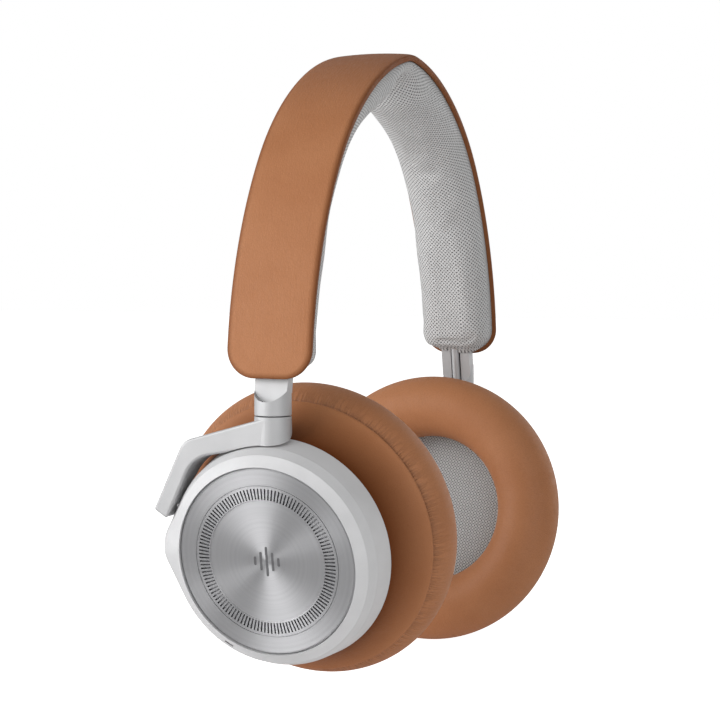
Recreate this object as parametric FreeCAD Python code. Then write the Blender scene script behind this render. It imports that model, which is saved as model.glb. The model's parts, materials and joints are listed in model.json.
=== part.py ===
import FreeCAD, Part
import math
import os

# Over ear headphones, in millimetres.
# +X runs from the left cup to the right cup, +Y towards the side where the yoke arms run, +Z up.
# The origin is on the surface the headphones stand on, under the middle of the band.

# ---- driving dimensions: headband ----
CROWN_Z = 199.7                  # top of the leather
CROWN_RADIUS = 21.0              # three tangent arcs per side, from the crown to the end of the band
SHOULDER_RADIUS = 82.8
SIDE_RADIUS = 123.5
CROWN_HEADING = 8.9              # slope at the end of each arc, in degrees from level
SHOULDER_HEADING = 55.0
END_HEADING = 88.0
BAND_WIDTH = 27.0
BAND_CORNER = 9.0                # the rounded corners of the leather's ends
LEATHER = 2.0
SPRING_THICKNESS = 1.0
SPRING_WIDTH = 18.0
SPRING_END_HEADING = 70.0
PAD_WIDTH = 25.4
PAD_CROWN_DEPTH = 7.0            # from the leather's outer face to the pad's inner face
PAD_SIDE_DEPTH = 12.0
PAD_RISE_START = 7.0             # headings between which the pad grows from crown to side depth
PAD_RISE_END = 21.0
PAD_END_GAP = 1.2                # the pad stops short of the leather's end by this
PAD_NOSE = 7.0                   # length of the pad's rounded end
PAD_NOSE_LEAST = 0.2             # the pad's thickness at its very end, as a share of the full depth
PAD_CORNER = 8.0

# ---- driving dimensions: stems ----
STEM_X = 76.6
STEM_RADIUS = 5.5
STEM_LEAN = 10.0                 # the slide leans inwards at the top, to follow the band
SLIDE_OUT = {"left": 0.0, "right": 3.7}       # how far each stem is drawn out at rest
PIVOT_Z = 60.55                  # height of the tilt pivot with the stem not drawn out
SEAM_HEIGHT = 27.0               # swivel seam above the pivot
SEAM_GAP = 0.3
SCOOP_HEIGHT = 30.5              # bottom of the stem's scooped flats above the pivot
SCOOP_RADIUS = 5.6
BLADE_INNER = -2.75              # flats of the blade, measured outwards from the stem's axis
BLADE_OUTER = 0.9
BLADE_HALF_WIDTH = 5.25
BLADE_TOP = 25.0                 # above the end of the band
CONDUIT_RADIUS = 1.35
GROOVE_RADIUS = 1.8
CONDUIT_TOP = 22.0
STOP_HEIGHT = 2.0
STOP_HALF_WIDTH = 6.1
SWIVEL_PIN_RADIUS = 2.5
RUNNING_CLEARANCE = 0.05

# ---- driving dimensions: slider housings in the band's ends ----
CHAMBER_INNER = -4.4
CHAMBER_OUTER = 1.15
CHAMBER_HALF_WIDTH = 6.4
MOUTH_HALF_WIDTH = 5.6
HOUSING_BOTTOM = 5.0
HOUSING_SHOULDER = 6.8
HOUSING_TOP = 33.0
HOUSING_WALL_X = 0.6
HOUSING_WALL_Y = 1.0
HOUSING_ROOF = 0.8
DETENT_LEAF = 0.4
DETENT_X = (-2.0, 0.4)
DETENT_Z = (12.0, 21.0)
DETENT_BUMP_Z = 16.5
DETENT_BUMP_RADIUS = 0.55

# ---- driving dimensions: yokes ----
ARM_INNER = -3.4                 # faces of the arm, measured outwards from the stem's axis
ARM_OUTER = 5.5
LINER_THICKNESS = 2.0
ARM_TOP = 26.7                   # the arm's edges where it leaves the barrel, above the pivot
ARM_FOOT = 18.4
ARM_KNEE = (27.4, 19.0)          # corners of the arm's outline: towards +Y, and above the pivot
ARM_INNER_KNEE = (24.1, 14.0)
ARM_TIP = (37.2, -1.9)
ARM_INNER_TIP = (32.8, -4.7)
KNEE_RADIUS = 6.0
INNER_KNEE_RADIUS = 10.0
ARM_END_RADIUS = 0.9
ARM_EDGE = 0.8
BARREL_FLARE = 0.25              # the yoke's barrel is this much wider at its foot
BARREL_FOOT = 15.0
LINER_INSET = 0.7
TILT_PIN_RADIUS = 1.5
TILT_PIN_INNER_Y = 22.0
TILT_PIN_OUTER_Y = 34.6

# ---- driving dimensions: cups, measured outwards from the cushion's middle plane ----
PIVOT_OUT = 27.5                 # the tilt pivot, in the cup's own directions
PIVOT_UP = 14.7
TILT = {"left": 9.2, "right": 7.5}            # how far each cup's outer face looks down at rest
SWIVEL = {"left": 0.0, "right": 2.0}          # how far each cup's outer face looks towards +Y at rest
TILT_LOW = -12.0
TILT_HIGH = 14.0
CUSHION_RADIUS = 35.8
CUSHION_TUBE = 10.4
CUSHION_BACK = 8.4
RING_FOOT = 22.3
RING_FOOT_RADIUS = 34.5
RING_EDGE = 30.0
RING_EDGE_RADIUS = 33.4
RING_BROW = 33.2
RING_BROW_RADIUS = 31.9
RING_LIP = 35.2
RING_LIP_RADIUS = 28.7
BOSS_REACH = 2.9                 # how far the ring swells towards the arm's end
BOSS_RADIUS = 11.0
BOSS_FOOT_RADIUS = 12.1
BOSS_BROW_RADIUS = 9.4
BOSS_LIP_RADIUS = 3.6
RING_BORE = 33.0                 # the ring's hollow: radius and height of each step
RING_BORE_TOP = 28.6
RING_SHELF = 31.4
RING_SHELF_RADIUS = 30.2
RING_SEAT_RADIUS = 27.2
BOSS_ANGLE = 3.0
DISC_RADIUS = 28.35
DISC_FACE = 34.6
DISC_BACK = 33.3
DISC_BEVEL = 0.35
DIAL_RADIUS = 18.5
DIAL_STEP = 0.25
SLOT_COUNT = 120
SLOT_INNER = 18.9
SLOT_OUTER = 22.2
SLOT_WIDTH = 0.48
LINE_RADIUS = 23.0
LINE_WIDTH = 0.22
LINE_DEPTH = 0.25
MESH_RADIUS = 25.0
MESH_THICKNESS = 0.5
EMBLEM_BARS = (2.6, 5.6, 9.0, 5.6, 2.6)
EMBLEM_PITCH = 1.9
EMBLEM_HALF_WIDTH = 0.38
EMBLEM_CORNER = 0.3
EMBLEM_THICKNESS = 0.06
SKIRT_RIM = 8.9
SKIRT_RIM_RADIUS = 42.4
SKIRT_MIDDLE = (14.9, 37.1)      # a point on the skirt's hollow side: height, radius
SKIRT_WALL = 1.6
CHASSIS_RADIUS = 30.4
CHASSIS_WALL = 1.4
CHASSIS_ROOF = (29.2, 30.6)
CHASSIS_FLANGE = (12.4, 14.4, 35.2)           # heights and radius of the flange on the baffle
RING_FLANGE = (21.0, 32.9)       # height and radius of the flange that carries the outer ring
BEARING = (3.2, 3.1, 21.0, 29.4) # the tilt bearing: reach in, out, and its ends along +Y
CLIP = (10.4, 27.0, 38.6)        # back, bore and radius of the cushion's clip ring
CLIP_NOTCH = (0.8, 3.2, 3.0)     # depth, reach inwards and half width
BAFFLE_RADIUS = 36.8
BAFFLE_COLLAR = (7.2, 23.0)
VENT_RADIUS = 0.9
VENT_CIRCLE = 26.0
VENT_COUNT = 8
GRILLE = (6.4, 26.4)             # front and radius of the driver's grille
GRILLE_HOLE = 0.8
GRILLE_RINGS = ((4.0, 6), (8.0, 12), (12.0, 18), (16.0, 24))
CLOTH = (5.9, 26.6)
DRIVER_RADIUS = 20.5
BASKET_FLOOR = (13.2, 15.0)
BASKET_THROAT = 9.2
BASKET_WINDOW = (12.6, 18.2, 3.0)             # inner and outer radius and half width
BASKET_WINDOWS = 6
DIAPHRAGM_RIM = 8.6
BOARD = (26.0, 27.2, 27.0)       # heights and radius of the circuit board
BOARD_FLAT = 19.0
CHIPS = ((1.2, -12, -2, 4, 14), (1.4, -16, -9, -12, -5), (1.1, 3, 9, 8, 16))  # height and edges
BATTERY = (30.0, 20.0, 1.5)      # length, width and corner radius
BATTERY_LEVEL = (19.4, 24.4)
SCREW_CIRCLE = 32.6
SCREW_ANGLES = (22.5, 112.5, 202.5, 292.5)
SCREW_HEAD = (1.9, 1.0)          # radius and height
SCREW_SHANK = 1.0
SCREW_RECESS = 0.5
MIC_ANGLE = -60.7
MIC_SIZE = (1.5, 0.65, 3.6)
SHELF_SLOT = (30.3, 31.0)        # radii of the microphone's slot in the ring

# ---- driving dimensions: buttons and sockets, by angle round the ring from +Y ----
PORT_H = 26.2
BUTTON_SIZE = (9.0, 3.0)
BUTTON_PLAY = 0.4
BUTTON_RIM = (1.6, 1.4)          # the flange is this much longer and wider than the cap
BUTTON_FACE = 34.7
SWITCH_SLOT = (11.0, 3.0)
SWITCH_KNOB = 6.0
SWITCH_FACE = 34.9
SWITCH_RIB = 1.5
BUTTON_ANGLE = {"noise_button": -42.0, "voice_button": -64.0, "power_switch": -38.0}
JACK_ANGLE = -90.0
JACK_H = 25.4
JACK_BODY_RADIUS = 3.0
JACK_BORE_RADIUS = 1.75
JACK_BACK = 18.6                 # radii at which the socket's body and bore begin and end
JACK_FLOOR = 19.8
JACK_FACE = 33.6
JACK_CUT_REACH = 36.0
USB_ANGLE = -118.0
USB_SHELL = (9.0, 3.2)
USB_MOUTH = (8.4, 2.6)
USB_TONGUE = (6.6, 0.7)
USB_REACH = (26.0, 34.1)         # radii of the shell's ends
USB_FLOOR = 27.2
USB_TONGUE_END = 33.2

CLEAR = 0.45                     # room kept round the cup's path
FAR = 100.0                      # past everything

X_AXIS = FreeCAD.Vector(1, 0, 0)
Y_AXIS = FreeCAD.Vector(0, 1, 0)
Z_AXIS = FreeCAD.Vector(0, 0, 1)
ORIGIN = FreeCAD.Vector(0, 0, 0)
SIDES = ("left", "right")


# ---- small builders ----
def vec(x, y, z):
    return FreeCAD.Vector(x, y, z)


def box(x0, x1, y0, y1, z0, z1):
    return Part.makeBox(x1 - x0, y1 - y0, z1 - z0, vec(x0, y0, z0))


def rod(radius, start, end):
    along = end - start
    return Part.makeCylinder(radius, along.Length, start, along)


def turned(shape, axis, degrees, about=ORIGIN):
    copy = shape.copy()
    copy.rotate(about, axis, degrees)
    return copy


def moved(shape, x, y, z):
    copy = shape.copy()
    copy.translate(vec(x, y, z))
    return copy


def face_of(edges):
    return Part.Face(Part.Wire(Part.__sortEdges__(edges)))


def polygon_edges(points):
    closed = list(points) + [points[0]]
    return [Part.LineSegment(a, b).toShape() for a, b in zip(closed, closed[1:])]


def lathe(profile):
    """Solid turned about the X axis from a closed list of (height along X, radius)."""
    points = [vec(h, 0, r) for h, r in profile]
    return face_of(polygon_edges(points)).revolve(ORIGIN, X_AXIS, 360)


def tube(h0, h1, inner, outer):
    return lathe([(h0, inner), (h1, inner), (h1, outer), (h0, outer)])


def disc(h0, h1, radius):
    return rod(radius, vec(h0, 0, 0), vec(h1, 0, 0))


def rounded_outline(corners, x):
    """Closed outline in the plane at x, from (y, z, corner radius) entries."""
    count = len(corners)
    edges = []
    ends = []
    for i, (y, z, radius) in enumerate(corners):
        here = vec(x, y, z)
        before = vec(x, *corners[i - 1][:2]) - here
        after = vec(x, *corners[(i + 1) % count][:2]) - here
        if radius == 0:
            ends.append((here, here))
            continue
        half = before.getAngle(after) / 2
        reach = radius / math.tan(half)
        first = here + before.normalize() * reach
        last = here + after.normalize() * reach
        middle_way = (before + after).normalize()
        middle = here + middle_way * (radius / math.sin(half) - radius)
        edges.append(Part.Arc(first, middle, last).toShape())
        ends.append((first, last))
    for i in range(count):
        start = ends[i - 1][1]
        end = ends[i][0]
        if (end - start).Length > 1e-6:
            edges.append(Part.LineSegment(start, end).toShape())
    return edges


def rounded_prism(corners, x0, x1):
    return face_of(rounded_outline(corners, x0)).extrude(vec(x1 - x0, 0, 0))


def fillet_some(shape, radius, wanted):
    """Round the edges that the test picks; a shape that cannot be rounded is left as it is."""
    edges = [edge for edge in shape.Edges if wanted(edge)]
    if not edges:
        return shape
    try:
        rounded = shape.makeFillet(radius, edges)
    except Part.OCCError:
        return shape
    return rounded if rounded.isValid() and rounded.Volume > 0 else shape


def save(name, shape):
    solids = shape.Solids
    whole = solids[0] if len(solids) == 1 else Part.makeCompound(solids)
    whole.exportStep("parts/%s.step" % name)


# ---- placing: every side piece is made for the right side and mirrored for the left ----
def on_side(shape, side):
    return shape.mirror(ORIGIN, X_AXIS) if side == "left" else shape


def at_stem(shape, side):
    """From the stem's own frame, whose origin is the tilt pivot, to the headphones."""
    lean = math.radians(STEM_LEAN)
    out = SLIDE_OUT[side]
    x = STEM_X + out * math.sin(lean)
    z = PIVOT_Z - out * math.cos(lean)
    return on_side(moved(shape, x, 0, z), side)


def at_yoke(shape, side):
    return at_stem(turned(shape, Z_AXIS, SWIVEL[side]), side)


def at_pivot(shape, tilt):
    """From the cup's own frame to the stem's frame, at a tilt."""
    return turned(moved(shape, -PIVOT_OUT, 0, -PIVOT_UP), Y_AXIS, tilt)


def at_cup(shape, side):
    return at_yoke(at_pivot(shape, TILT[side]), side)


# ---- headband ----
def band_point(heading, depth, y=0.0):
    """Point on the band's middle line, depth below the leather's face, where it slopes by heading."""
    side = -1 if heading < 0 else 1
    slope = abs(heading)
    x = 0.0
    z = CROWN_Z - CROWN_RADIUS
    radius = CROWN_RADIUS
    arcs = ((CROWN_HEADING, SHOULDER_RADIUS), (SHOULDER_HEADING, SIDE_RADIUS))
    for limit, next_radius in arcs:
        if slope > limit:
            angle = math.radians(limit)
            x += (radius - next_radius) * math.sin(angle)
            z += (radius - next_radius) * math.cos(angle)
            radius = next_radius
    angle = math.radians(slope)
    x += (radius - depth) * math.sin(angle)
    z += (radius - depth) * math.cos(angle)
    return vec(side * x, y, z)


def band_arcs(depth, end, y):
    breaks = [-end, -SHOULDER_HEADING, -CROWN_HEADING, CROWN_HEADING, SHOULDER_HEADING, end]
    edges = []
    for a, b in zip(breaks, breaks[1:]):
        points = [band_point(h, depth, y) for h in (a, (a + b) / 2, b)]
        edges.append(Part.Arc(*points).toShape())
    return edges


def band_strip(depth0, depth1, width, end):
    y = -width / 2
    edges = band_arcs(depth0, end, y) + band_arcs(depth1, end, y)
    for heading in (-end, end):
        start = band_point(heading, depth0, y)
        edges.append(Part.LineSegment(start, band_point(heading, depth1, y)).toShape())
    return face_of(edges).extrude(vec(0, width, 0))


BAND_END = band_point(END_HEADING, 0)


def band_cover():
    strip = band_strip(0, LEATHER, BAND_WIDTH, END_HEADING)
    half = BAND_WIDTH / 2
    corner = BAND_CORNER
    top = CROWN_Z + 1
    bottom = BAND_END.z - 0.2
    outline = [(-half, bottom, corner), (half, bottom, corner), (half, top, 0), (-half, top, 0)]
    return strip.common(rounded_prism(outline, -FAR, FAR))


def pad_depth(heading):
    """Depth of the pad's inner face: shallow at the crown, full at the sides, round at the ends."""
    slope = abs(heading)
    rise = min(max((slope - PAD_RISE_START) / (PAD_RISE_END - PAD_RISE_START), 0), 1)
    rise = rise * rise * (3 - 2 * rise)
    depth = PAD_CROWN_DEPTH + (PAD_SIDE_DEPTH - PAD_CROWN_DEPTH) * rise
    to_end = math.radians(END_HEADING - slope) * SIDE_RADIUS - PAD_END_GAP
    nose = max(1 - to_end / PAD_NOSE, 0)
    skin = LEATHER + SPRING_THICKNESS
    return skin + (depth - skin) * math.sqrt(max(1 - nose * nose, PAD_NOSE_LEAST ** 2))


def band_pad():
    skin = LEATHER + SPRING_THICKNESS
    y = -PAD_WIDTH / 2
    end = END_HEADING - math.degrees(PAD_END_GAP / SIDE_RADIUS)
    steps = 60
    headings = [-end + 2 * end * i / steps for i in range(steps + 1)]
    nose = [end - d for d in (0.5, 1.2)]
    headings = sorted(headings + nose + [-h for h in nose])
    inner = Part.BSplineCurve()
    inner.interpolate([band_point(h, pad_depth(h), y) for h in headings])
    edges = band_arcs(skin, end, y) + [inner.toShape()]
    for heading in (-end, end):
        start = band_point(heading, skin, y)
        edges.append(Part.LineSegment(start, band_point(heading, pad_depth(heading), y)).toShape())
    pad = face_of(edges).extrude(vec(0, PAD_WIDTH, 0))
    half = PAD_WIDTH / 2
    corner = PAD_CORNER
    bottom = BAND_END.z + PAD_END_GAP - 0.3
    outline = [(-half, bottom, corner), (half, bottom, corner), (half, CROWN_Z, 0), (-half, CROWN_Z, 0)]
    pad = pad.common(rounded_prism(outline, -FAR, FAR))
    for side in SIDES:
        pad = pad.cut(at_band_end(housing_block(), side))
        pad = pad.cut(at_band_end(stem_channel(), side))
    return pad


def at_band_end(shape, side):
    """From the leaning slide's frame, whose origin is level with the band's end, to the headphones."""
    leaning = turned(shape, Y_AXIS, -STEM_LEAN)
    return on_side(moved(leaning, STEM_X, 0, BAND_END.z), side)


def stem_channel():
    clear = 0.3
    low = -6.0
    return box(BLADE_INNER - CONDUIT_RADIUS - clear, BLADE_OUTER + clear,
               -BLADE_HALF_WIDTH - clear, BLADE_HALF_WIDTH + clear, low, HOUSING_BOTTOM + 1)


def housing_block():
    half = CHAMBER_HALF_WIDTH + HOUSING_WALL_Y
    return box(CHAMBER_INNER - HOUSING_WALL_X, CHAMBER_OUTER + HOUSING_WALL_X,
               -half, half, HOUSING_BOTTOM, HOUSING_TOP)


def slider_housing():
    roof = HOUSING_TOP - HOUSING_ROOF
    chamber = box(CHAMBER_INNER, CHAMBER_OUTER, -CHAMBER_HALF_WIDTH, CHAMBER_HALF_WIDTH,
                  HOUSING_SHOULDER, roof)
    mouth = box(CHAMBER_INNER, CHAMBER_OUTER, -MOUTH_HALF_WIDTH, MOUTH_HALF_WIDTH,
                HOUSING_BOTTOM - 1, HOUSING_SHOULDER + 1)
    return housing_block().cut(chamber).cut(mouth)


def detent_spring():
    """Leaf with a bump that bears on the blade's edge, fixed to the chamber's +Y wall."""
    face = CHAMBER_HALF_WIDTH - DETENT_LEAF
    leaf = box(*DETENT_X, face, CHAMBER_HALF_WIDTH, *DETENT_Z)
    ends = [vec(x, face, DETENT_BUMP_Z) for x in DETENT_X]
    bump = rod(DETENT_BUMP_RADIUS, *ends)
    keep = box(*DETENT_X, face - 1, CHAMBER_HALF_WIDTH - 0.1, *DETENT_Z)
    return leaf.fuse(bump.common(keep)).removeSplitter()


def spring_band():
    return band_strip(LEATHER, LEATHER + SPRING_THICKNESS, SPRING_WIDTH, SPRING_END_HEADING)


# ---- slider: one on each side, in the stem's frame ----
BAND_LEVEL = BAND_END.z - PIVOT_Z             # band's end above the pivot, with the stem not drawn out


def leaning(shape):
    return turned(moved(shape, 0, 0, BAND_LEVEL), Y_AXIS, -STEM_LEAN, vec(0, 0, BAND_LEVEL))


def scoop(x0, x1):
    """Round-ended cutter that leaves a flat on the stem and runs out in a scoop."""
    low = SCOOP_HEIGHT - BAND_LEVEL
    half = SCOOP_RADIUS
    top = BLADE_TOP + 5
    sketch = [(-half, low, half - 0.01), (half, low, half - 0.01), (half, top, 0), (-half, top, 0)]
    return leaning(rounded_prism(sketch, x0, x1))


def conduit():
    return leaning(rod(CONDUIT_RADIUS, vec(BLADE_INNER, 0, -6.4), vec(BLADE_INNER, 0, CONDUIT_TOP)))


def slider_stem():
    seam = SEAM_HEIGHT + SEAM_GAP / 2
    barrel = rod(STEM_RADIUS, vec(0, 0, seam), vec(0, 0, BAND_LEVEL - 0.4))
    barrel = barrel.cut(scoop(BLADE_OUTER, 12)).cut(scoop(-12, BLADE_INNER))
    blade = leaning(box(BLADE_INNER, BLADE_OUTER, -BLADE_HALF_WIDTH, BLADE_HALF_WIDTH, -4.0, BLADE_TOP))
    groove = leaning(rod(GROOVE_RADIUS, vec(BLADE_INNER, 0, -5.6), vec(BLADE_INNER, 0, BLADE_TOP + 1)))
    bore = rod(SWIVEL_PIN_RADIUS + RUNNING_CLEARANCE, vec(0, 0, seam - 1), vec(0, 0, seam + 2.4))
    stem = barrel.fuse(blade).removeSplitter()
    stem = stem.cut(groove).cut(conduit()).cut(bore)

    def rim(edge):
        middle = edge.BoundBox.Center
        return edge.BoundBox.ZLength < 0.01 and abs(middle.z - seam) < 0.01 and edge.BoundBox.XLength > 10
    return fillet_some(stem, 0.25, rim)


def slider_stop():
    return leaning(box(BLADE_INNER + 0.05, BLADE_OUTER - 0.05, -STOP_HALF_WIDTH, BLADE_HALF_WIDTH - 0.1,
                       BLADE_TOP, BLADE_TOP + STOP_HEIGHT))


# ---- yoke: one on each side, in the stem's frame ----
def arm_outline(inset):
    """The arm seen from outside: from the barrel out to the knee, down to the end, and back."""
    return [(0, ARM_TOP - inset, 0),
            (ARM_KNEE[0] - inset, ARM_KNEE[1] - inset, KNEE_RADIUS - inset),
            (ARM_TIP[0] - inset, ARM_TIP[1], ARM_END_RADIUS),
            (ARM_INNER_TIP[0] + inset, ARM_INNER_TIP[1] + inset, ARM_END_RADIUS),
            (ARM_INNER_KNEE[0] + inset, ARM_INNER_KNEE[1] + inset, INNER_KNEE_RADIUS),
            (0, ARM_FOOT + inset, 0)]


def cup_path():
    """Everything the cup may sweep through next to the arm, over its whole tilt."""
    skirt = lathe([(5, 0), (RING_FOOT + 0.5, 0), (RING_FOOT + 0.5, RING_FOOT_RADIUS + CLEAR),
                   (SKIRT_MIDDLE[0], SKIRT_MIDDLE[1] + CLEAR + 0.6), (SKIRT_RIM, SKIRT_RIM_RADIUS + CLEAR),
                   (5, SKIRT_RIM_RADIUS + CLEAR)])
    solid = ring_body(CLEAR).fuse(skirt)
    steps = 8
    tilts = [TILT_LOW + (TILT_HIGH - TILT_LOW) * i / steps for i in range(steps + 1)]
    return [at_pivot(solid, tilt) for tilt in tilts]


def yoke_arm(path):
    arm = rounded_prism(arm_outline(0), ARM_INNER, ARM_OUTER)

    def long_edges(edge):
        middle = edge.BoundBox.Center
        return abs(middle.x - ARM_OUTER) < 0.01 and edge.BoundBox.XLength < 0.01 and middle.y > 1
    arm = fillet_some(arm, ARM_EDGE, long_edges)
    top = SEAM_HEIGHT - SEAM_GAP / 2
    foot = vec(0, 0, BARREL_FOOT)
    barrel = Part.makeCone(STEM_RADIUS + BARREL_FLARE, STEM_RADIUS, top - BARREL_FOOT, foot)
    web = barrel.fuse(arm).removeSplitter()
    for solid in path:
        web = web.cut(solid)
    web = max(web.Solids, key=lambda s: s.Volume)
    return web.cut(swivel_pin()).cut(tilt_pin())


def arm_liner(path):
    liner = rounded_prism(arm_outline(LINER_INSET), ARM_INNER - LINER_THICKNESS, ARM_INNER)
    for solid in path:
        liner = liner.cut(solid)
    liner = max(liner.Solids, key=lambda s: s.Volume)
    return liner.cut(rod(STEM_RADIUS + 0.3, vec(0, 0, 0), vec(0, 0, 40))).cut(tilt_pin())


def swivel_pin():
    seam = SEAM_HEIGHT + SEAM_GAP / 2
    return rod(SWIVEL_PIN_RADIUS, vec(0, 0, SEAM_HEIGHT - 4.5), vec(0, 0, seam + 2.2))


def tilt_pin():
    return rod(TILT_PIN_RADIUS, vec(0, TILT_PIN_INNER_Y, 0), vec(0, TILT_PIN_OUTER_Y, 0))


# ---- cup, in its own frame: +X outwards, origin at the middle of the cushion ----
def swollen_outline(h, radius, boss):
    """Circle joined by tangents to a smaller circle on its +Y side."""
    reach = RING_EDGE_RADIUS + BOSS_REACH - BOSS_RADIUS
    angle = math.acos((radius - boss) / reach)
    c = math.cos(angle)
    s = math.sin(angle)
    big = [vec(h, radius * c, radius * s), vec(h, -radius, 0), vec(h, radius * c, -radius * s)]
    small = [vec(h, reach + boss * c, -boss * s), vec(h, reach + boss, 0), vec(h, reach + boss * c, boss * s)]
    edges = [Part.Arc(*big).toShape(), Part.LineSegment(big[2], small[0]).toShape(),
             Part.Arc(*small).toShape(), Part.LineSegment(small[2], big[0]).toShape()]
    return turned(Part.Wire(edges), X_AXIS, BOSS_ANGLE)


def ring_body(grow):
    stations = [(RING_FOOT - grow, RING_FOOT_RADIUS, BOSS_FOOT_RADIUS),
                (RING_EDGE, RING_EDGE_RADIUS, BOSS_RADIUS),
                (RING_BROW + grow / 2, RING_BROW_RADIUS, BOSS_BROW_RADIUS),
                (RING_LIP + grow, RING_LIP_RADIUS, BOSS_LIP_RADIUS)]
    wires = [swollen_outline(h, radius + grow, boss + grow) for h, radius, boss in stations]
    return Part.makeLoft(wires, True, True)


def wall_slot(size, angle, r0, r1):
    """Round-cornered prism through the ring's wall; the first side of its size runs round the ring."""
    width, height = size
    corner = min(width, height) / 2 - 0.05
    prism = rounded_prism([(-width / 2, -height / 2, corner), (width / 2, -height / 2, corner),
                           (width / 2, height / 2, corner), (-width / 2, height / 2, corner)], 0, r1 - r0)
    prism = turned(prism, Z_AXIS, 90)
    prism = turned(prism, Y_AXIS, 90)
    prism = moved(prism, PORT_H, r0, 0)
    return turned(prism, X_AXIS, angle)


def wider(size, growth):
    return (size[0] + growth, size[1] + growth)


def wall_opening(name):
    """Opening through the ring's wall for a button, or the slot that the switch slides in."""
    size = wider(BUTTON_SIZE, BUTTON_PLAY)
    if name == "power_switch":
        size = (SWITCH_SLOT[0], SWITCH_SLOT[1] + BUTTON_PLAY)
    return wall_slot(size, BUTTON_ANGLE[name], RING_SEAT_RADIUS + 2, RING_FOOT_RADIUS + 5)


def outer_ring(side):
    ring = ring_body(0)
    hollow = lathe([(RING_FOOT - 1, 0), (RING_FOOT - 1, RING_BORE), (RING_BORE_TOP, RING_BORE),
                    (RING_SHELF, RING_SHELF_RADIUS), (RING_SHELF, RING_SEAT_RADIUS),
                    (DISC_BACK, RING_SEAT_RADIUS), (DISC_BACK, RING_LIP_RADIUS),
                    (RING_LIP + 1, RING_LIP_RADIUS), (RING_LIP + 1, 0)])
    ring = ring.cut(hollow)
    half = MIC_SIZE[0]
    mic_slot = box(RING_BORE_TOP - 0.6, RING_LIP + 1, SHELF_SLOT[0], SHELF_SLOT[1], -half, half)
    ring = ring.cut(turned(mic_slot, X_AXIS, MIC_ANGLE))
    pin_hole = rod(TILT_PIN_RADIUS + 0.4, vec(PIVOT_OUT, TILT_PIN_INNER_Y, PIVOT_UP),
                   vec(PIVOT_OUT, FAR, PIVOT_UP))
    ring = ring.cut(pin_hole)
    if side == "left":
        return ring.cut(wall_opening("noise_button"))
    ring = ring.cut(wall_opening("voice_button")).cut(wall_opening("power_switch"))
    return ring.cut(usb_shell(0.0)).cut(jack_block())


def touch_disc():
    edge = DISC_BEVEL
    plate = lathe([(DISC_BACK, 0), (DISC_BACK, DISC_RADIUS), (DISC_FACE - edge, DISC_RADIUS),
                   (DISC_FACE, DISC_RADIUS - edge), (DISC_FACE, LINE_RADIUS + LINE_WIDTH),
                   (DISC_FACE - LINE_DEPTH, LINE_RADIUS + LINE_WIDTH), (DISC_FACE - LINE_DEPTH, LINE_RADIUS),
                   (DISC_FACE, LINE_RADIUS), (DISC_FACE, DIAL_RADIUS + DIAL_STEP / 2),
                   (DISC_FACE - DIAL_STEP, DIAL_RADIUS), (DISC_FACE - DIAL_STEP, 0)])
    slot = box(DISC_BACK - 1, DISC_FACE + 1, SLOT_INNER, SLOT_OUTER, -SLOT_WIDTH / 2, SLOT_WIDTH / 2)
    slots = [turned(slot, X_AXIS, 360 * i / SLOT_COUNT) for i in range(SLOT_COUNT)]
    return plate.cut(Part.makeCompound(slots))


def slot_mesh():
    return disc(DISC_BACK - MESH_THICKNESS, DISC_BACK, MESH_RADIUS)


def disc_emblem():
    """A generic mark: five upright bars, like a sound level."""
    face = DISC_FACE - DIAL_STEP
    bars = []
    for i, height in enumerate(EMBLEM_BARS):
        middle = (i - (len(EMBLEM_BARS) - 1) / 2) * EMBLEM_PITCH
        left = middle - EMBLEM_HALF_WIDTH
        right = middle + EMBLEM_HALF_WIDTH
        half = height / 2
        sketch = [(left, -half, EMBLEM_CORNER), (right, -half, EMBLEM_CORNER),
                  (right, half, EMBLEM_CORNER), (left, half, EMBLEM_CORNER)]
        bars.append(rounded_prism(sketch, face, face + EMBLEM_THICKNESS))
    return Part.makeCompound(bars)


def chassis(side):
    """Inner housing: a cup with a flange for the baffle and one for the ring, and a bearing for the pin."""
    inner = CHASSIS_RADIUS - CHASSIS_WALL
    front, back, flange = CHASSIS_FLANGE
    ceiling, top = CHASSIS_ROOF
    step, ring_flange = RING_FLANGE
    shell = lathe([(front, flange), (front, inner), (ceiling, inner), (ceiling, 0), (top, 0),
                   (top, CHASSIS_RADIUS), (RING_FOOT, CHASSIS_RADIUS), (RING_FOOT, ring_flange),
                   (step, ring_flange), (step, CHASSIS_RADIUS), (back, CHASSIS_RADIUS), (back, flange)])
    low, high, start, end = BEARING
    bearing = box(PIVOT_OUT - low, PIVOT_OUT + high, start, end, PIVOT_UP - low, PIVOT_UP + low)
    bearing = bearing.common(disc(0, top, CHASSIS_RADIUS))
    shell = shell.fuse(bearing).removeSplitter()
    shell = shell.cut(rod(TILT_PIN_RADIUS + RUNNING_CLEARANCE, vec(PIVOT_OUT, start - 1, PIVOT_UP),
                          vec(PIVOT_OUT, FAR, PIVOT_UP)))
    for hole in screw_bodies():
        shell = shell.cut(hole)
    if side == "right":
        shell = shell.cut(jack_block()).cut(usb_shell(0.0))
    return shell


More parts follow.
